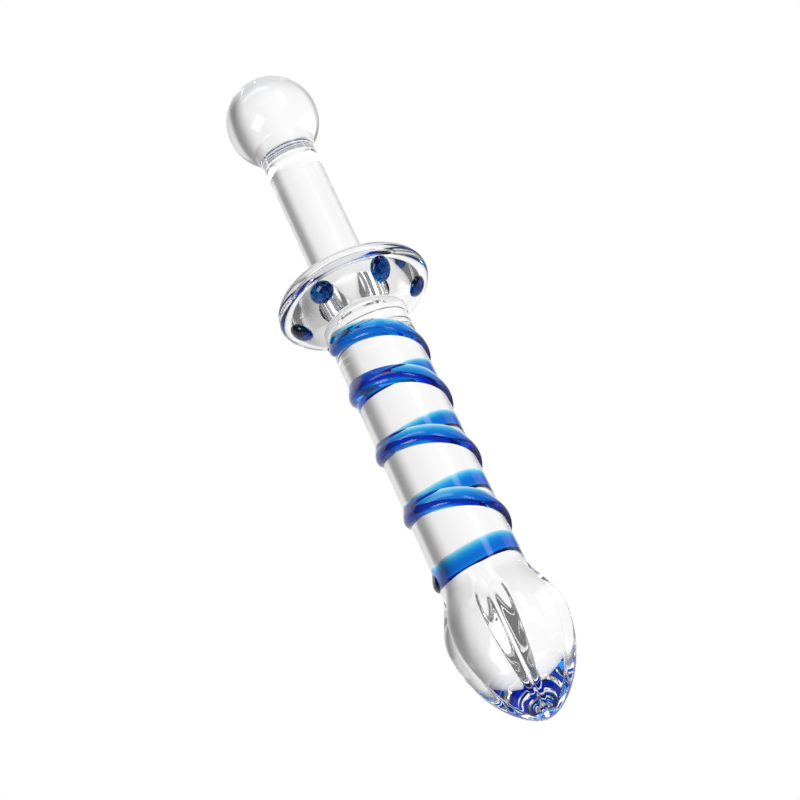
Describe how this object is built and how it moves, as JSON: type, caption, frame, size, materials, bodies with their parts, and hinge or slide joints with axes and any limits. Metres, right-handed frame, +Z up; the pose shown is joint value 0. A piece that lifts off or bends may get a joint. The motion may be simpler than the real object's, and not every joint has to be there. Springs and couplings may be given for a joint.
{
  "type": "glass dildo",
  "caption": "Solid glass adult product: handle rod with a ball end, flared guard with blue dots, shaft with a raised blue spiral, and a fluted bulb at the other end.",
  "frame": {"origin": "Middle of the footprint, on the surface that the piece lies on.", "axes": "+X from the ball to the bulb, along the piece; +Z up. It lies on the guard's rim and on one lobe of the bulb, so its own axis dips 3.1 degrees towards +X. +Y completes a right-handed frame."},
  "size_m": [0.2318, 0.0474, 0.0473],
  "materials": {
    "clear_glass": "fire-polished, colourless and transparent",
    "blue_glass": "fire-polished, transparent cobalt blue"
  },
  "bodies": {
    "root": {"pommel_ball": "clear_glass", "pommel_collar": "clear_glass", "handle_rod": "clear_glass", "guard_disc": "clear_glass", "guard_boss": "clear_glass", "guard_dot_1": "blue_glass", "guard_dot_2": "blue_glass", "guard_dot_3": "blue_glass", "guard_dot_4": "blue_glass", "guard_dot_5": "blue_glass", "guard_dot_6": "blue_glass", "neck_ring": "clear_glass", "shaft_rod": "clear_glass", "spiral_wrap": "blue_glass", "tip_bulb": "clear_glass"}
  },
  "joints": []
}
